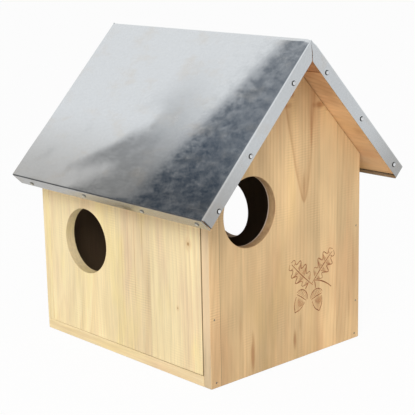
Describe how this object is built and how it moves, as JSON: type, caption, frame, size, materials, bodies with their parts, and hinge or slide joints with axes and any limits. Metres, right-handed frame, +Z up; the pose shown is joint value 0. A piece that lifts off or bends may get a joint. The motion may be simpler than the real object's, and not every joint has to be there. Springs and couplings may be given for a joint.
{
  "type": "squirrel box",
  "caption": "Wooden nest and feeding box for squirrels with round entrances, a swinging side panel and a folded sheet-metal gable roof.",
  "frame": {"origin": "middle of the bottom board's underside, where the box stands", "axes": "+Z up, -Y towards the gable with the entrance hole, -X towards the swinging side panel, the ridge runs along Y"},
  "size_m": [0.3112, 0.3309, 0.3612],
  "materials": {
    "tan_wood": "planed, unfinished, tan with fine vertical grain",
    "pale_wood": "planed, unfinished, pale yellow",
    "red_wood": "planed, unfinished, reddish brown",
    "zinc_sheet": "galvanised, mottled and slightly weathered",
    "nail_steel": "bright zinc plated"
  },
  "bodies": {
    "house": {"front_gable": "tan_wood", "back_gable": "pale_wood", "bottom_board": "pale_wood", "side_panel_right": "pale_wood", "roof_ridge_plank_left": "red_wood", "roof_lower_plank_left": "red_wood", "roof_ridge_plank_right": "red_wood", "roof_lower_plank_right": "red_wood", "roof_sheet": "zinc_sheet", "bottom_brad_left_front": "nail_steel", "bottom_brad_left_back": "nail_steel", "bottom_brad_right_front": "nail_steel", "bottom_brad_right_back": "nail_steel", "panel_brad_low_front": "nail_steel", "panel_brad_low_back": "nail_steel", "panel_brad_high_front": "nail_steel", "panel_brad_high_back": "nail_steel", "floor_brad_front": "nail_steel", "floor_brad_back": "nail_steel", "door_pivot_nail_front": "nail_steel", "door_pivot_nail_back": "nail_steel", "door_stop_nail_front": "nail_steel", "door_stop_nail_back": "nail_steel", "ridge_plank_nail_left_front": "nail_steel", "ridge_plank_nail_left_back": "nail_steel", "ridge_plank_nail_right_front": "nail_steel", "ridge_plank_nail_right_back": "nail_steel", "lower_plank_nail_left_front_1": "nail_steel", "lower_plank_nail_left_front_2": "nail_steel", "lower_plank_nail_left_back_1": "nail_steel", "lower_plank_nail_left_back_2": "nail_steel", "lower_plank_nail_right_front_1": "nail_steel", "lower_plank_nail_right_front_2": "nail_steel", "lower_plank_nail_right_back_1": "nail_steel", "lower_plank_nail_right_back_2": "nail_steel", "skirt_tack_left_1": "nail_steel", "skirt_tack_left_2": "nail_steel", "skirt_tack_left_3": "nail_steel", "skirt_tack_left_4": "nail_steel", "skirt_tack_right_1": "nail_steel", "skirt_tack_right_2": "nail_steel", "skirt_tack_right_3": "nail_steel", "skirt_tack_right_4": "nail_steel", "front_tack_left_1": "nail_steel", "front_tack_left_2": "nail_steel", "front_tack_left_3": "nail_steel", "front_tack_right_1": "nail_steel", "front_tack_right_2": "nail_steel", "front_tack_right_3": "nail_steel", "back_tack_left_1": "nail_steel", "back_tack_left_2": "nail_steel", "back_tack_left_3": "nail_steel", "back_tack_right_1": "nail_steel", "back_tack_right_2": "nail_steel", "back_tack_right_3": "nail_steel"},
    "door": {"side_panel_door": "pale_wood"}
  },
  "joints": [
    {"name": "door_swing", "type": "hinge", "parent": "house", "child": "door", "pos_m": [-0.112, 0, 0.2038], "axis": [0, 1, 0], "range_deg": [0, 50]}
  ]
}
